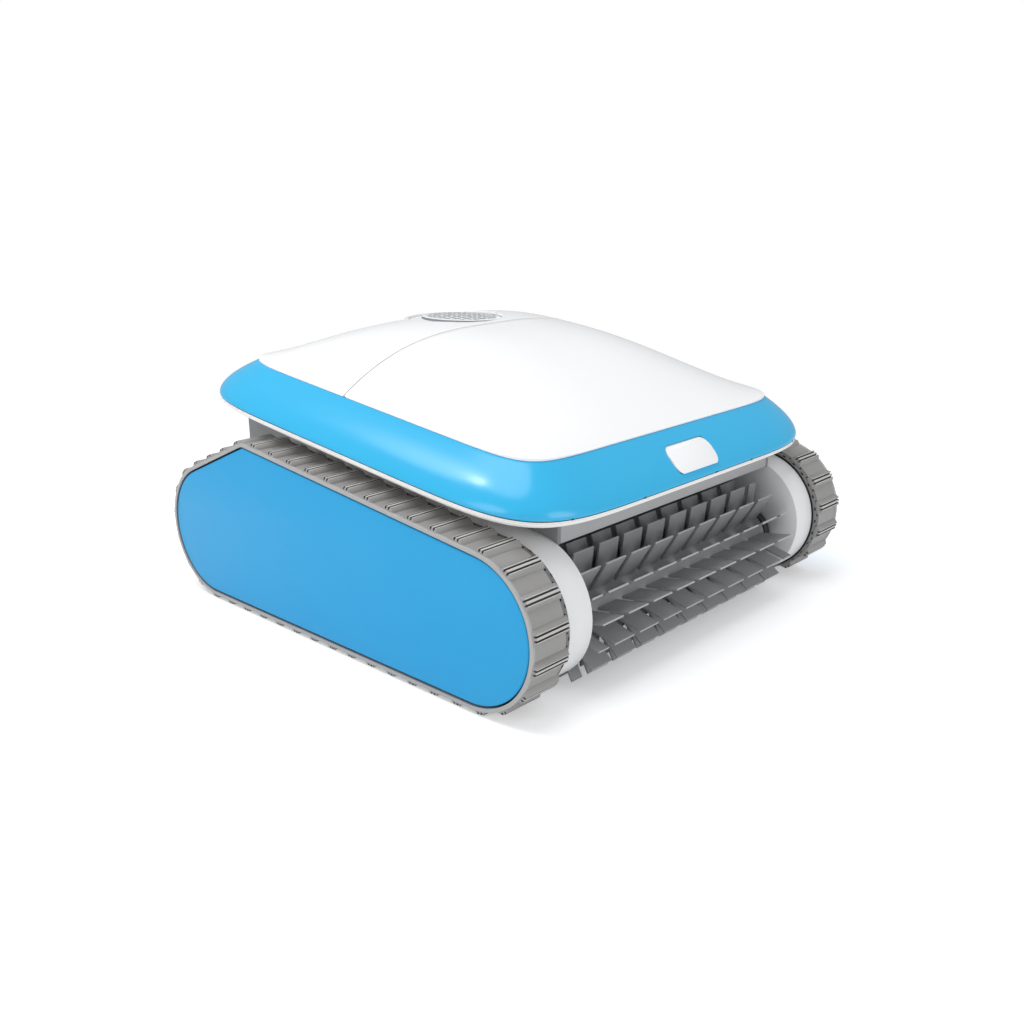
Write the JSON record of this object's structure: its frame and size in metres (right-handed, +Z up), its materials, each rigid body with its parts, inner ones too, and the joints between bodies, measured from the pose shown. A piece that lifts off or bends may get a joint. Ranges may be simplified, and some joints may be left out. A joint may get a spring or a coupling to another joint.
{
  "type": "robotic pool cleaner",
  "caption": "Tracked robotic pool cleaner with a domed hinged lid, side belts on wheels, a rotating front brush, a lift-out filter basket and a top water outlet.",
  "frame": {"origin": "on the ground, under the middle of the machine's width and length", "axes": "+Z up, +X across the machine, the brush at the front towards -Y"},
  "size_m": [0.38, 0.3921, 0.2125],
  "materials": {
    "white_shell": "smooth white moulded ABS",
    "rim_white": "white moulded ABS, satin",
    "blue_shell": "pigmented moulded ABS, soft gloss",
    "hull_grey": "light grey moulded polypropylene",
    "track_rubber": "moulded grey elastomer, matt",
    "brush_pvc": "soft moulded grey PVC blades",
    "wheel_plastic": "glass-filled nylon, matt",
    "box_plastic": "dark moulded polypropylene",
    "bearing_plastic": "white acetal",
    "foam_white": "closed-cell foam",
    "mesh_fabric": "fine woven polyester mesh",
    "basket_plastic": "tinted moulded polypropylene",
    "seal_rubber": "black nitrile rubber",
    "steel": "turned stainless steel",
    "motor_steel": "plated motor can",
    "board": "green circuit board",
    "impeller_plastic": "blue moulded nylon"
  },
  "bodies": {
    "hull": {"brush_tunnel": "hull_grey", "hull_floor": "hull_grey", "hull_sides": "hull_grey", "hull_back": "hull_grey", "base_rim": "rim_white", "canopy_band": "blue_shell", "top_frame": "hull_grey", "hinge_bracket": "hull_grey", "hinge_pin": "steel", "rear_cover": "white_shell", "outlet_grille": "white_shell", "latch_spring": "steel", "latch_housing": "hull_grey", "float_blocks": "foam_white", "left_side_frame": "hull_grey", "right_side_frame": "hull_grey", "left_side_cover": "blue_shell", "right_side_cover": "blue_shell", "left_track": "track_rubber", "right_track": "track_rubber", "front_axles": "steel", "idler_pins": "steel", "axle_clips": "steel", "bushes": "bearing_plastic", "filter_basket": "basket_plastic", "basket_floor": "basket_plastic", "filter_mesh": "mesh_fabric", "flap_pin": "steel", "motor_box": "box_plastic", "motor_box_lid": "box_plastic", "motor_box_gasket": "seal_rubber", "pump_motor": "motor_steel", "drive_motors": "motor_steel", "control_board": "board", "shaft_seals": "seal_rubber", "cable_gland": "box_plastic", "outlet_duct": "hull_grey", "side_screws": "steel", "rim_screws": "steel", "band_screws": "steel", "lid_screws": "steel"},
    "lid": {"front_lid": "white_shell", "lid_catch": "white_shell", "lid_hinge": "white_shell"},
    "button": {"latch_button": "white_shell"},
    "left_drive": {"left_drive_wheel": "wheel_plastic", "left_drive_shaft": "steel"},
    "right_drive": {"right_drive_wheel": "wheel_plastic", "right_drive_shaft": "steel"},
    "left_front": {"left_front_wheel": "wheel_plastic"},
    "right_front": {"right_front_wheel": "wheel_plastic"},
    "left_idler": {"left_top_idler": "wheel_plastic"},
    "right_idler": {"right_top_idler": "wheel_plastic"},
    "brush": {"brush_core": "wheel_plastic", "brush_sleeve": "brush_pvc", "left_brush_end": "wheel_plastic", "right_brush_end": "wheel_plastic"},
    "pump": {"impeller": "impeller_plastic", "impeller_shaft": "steel"},
    "flap": {"inlet_flap": "seal_rubber"}
  },
  "joints": [
    {"name": "lid_hinge_turn", "type": "hinge", "parent": "hull", "child": "lid", "pos_m": [0, 0.02892, 0.20191], "axis": [-1, 0, 0], "range_deg": [0, 65]},
    {"name": "button_slide", "type": "slide", "parent": "hull", "child": "button", "axis": [0, 0.9934, 0.1147], "range_m": [0, 0.004], "stiffness_N_per_m": 400, "springref_m": -0.0015, "deforming": ["latch_spring"]},
    {"name": "left_drive_spin", "type": "hinge", "parent": "hull", "child": "left_drive", "pos_m": [-0.1675, 0.1408, 0.0558], "axis": [1, 0, 0], "continuous": true},
    {"name": "right_drive_spin", "type": "hinge", "parent": "hull", "child": "right_drive", "pos_m": [0.1675, 0.1408, 0.0558], "axis": [1, 0, 0], "continuous": true},
    {"name": "left_front_spin", "type": "hinge", "parent": "hull", "child": "left_front", "pos_m": [-0.1675, -0.1403, 0.0558], "axis": [1, 0, 0], "continuous": true},
    {"name": "right_front_spin", "type": "hinge", "parent": "hull", "child": "right_front", "pos_m": [0.1675, -0.1403, 0.0558], "axis": [1, 0, 0], "continuous": true},
    {"name": "left_idler_spin", "type": "hinge", "parent": "hull", "child": "left_idler", "pos_m": [-0.1675, 0.08974, 0.12023], "axis": [1, 0, 0], "continuous": true},
    {"name": "right_idler_spin", "type": "hinge", "parent": "hull", "child": "right_idler", "pos_m": [0.1675, 0.08974, 0.12023], "axis": [1, 0, 0], "continuous": true},
    {"name": "brush_spin", "type": "hinge", "parent": "hull", "child": "brush", "pos_m": [0, -0.14793, 0.04406], "axis": [1, 0, 0], "continuous": true},
    {"name": "pump_spin", "type": "hinge", "parent": "hull", "child": "pump", "pos_m": [0, 0.062, 0.15], "axis": [0, 0, 1], "continuous": true},
    {"name": "flap_turn", "type": "hinge", "parent": "hull", "child": "flap", "pos_m": [0, -0.033, 0.0292], "axis": [-1, 0, 0], "range_deg": [0, 60]}
  ],
  "couplings": [
    {"joint": "left_front_spin", "follows": "left_drive_spin", "ratio": 1},
    {"joint": "left_idler_spin", "follows": "left_drive_spin", "ratio": 4.1917},
    {"joint": "brush_spin", "follows": "left_drive_spin", "ratio": 3.3333},
    {"joint": "right_front_spin", "follows": "right_drive_spin", "ratio": 1},
    {"joint": "right_idler_spin", "follows": "right_drive_spin", "ratio": 4.1917}
  ]
}
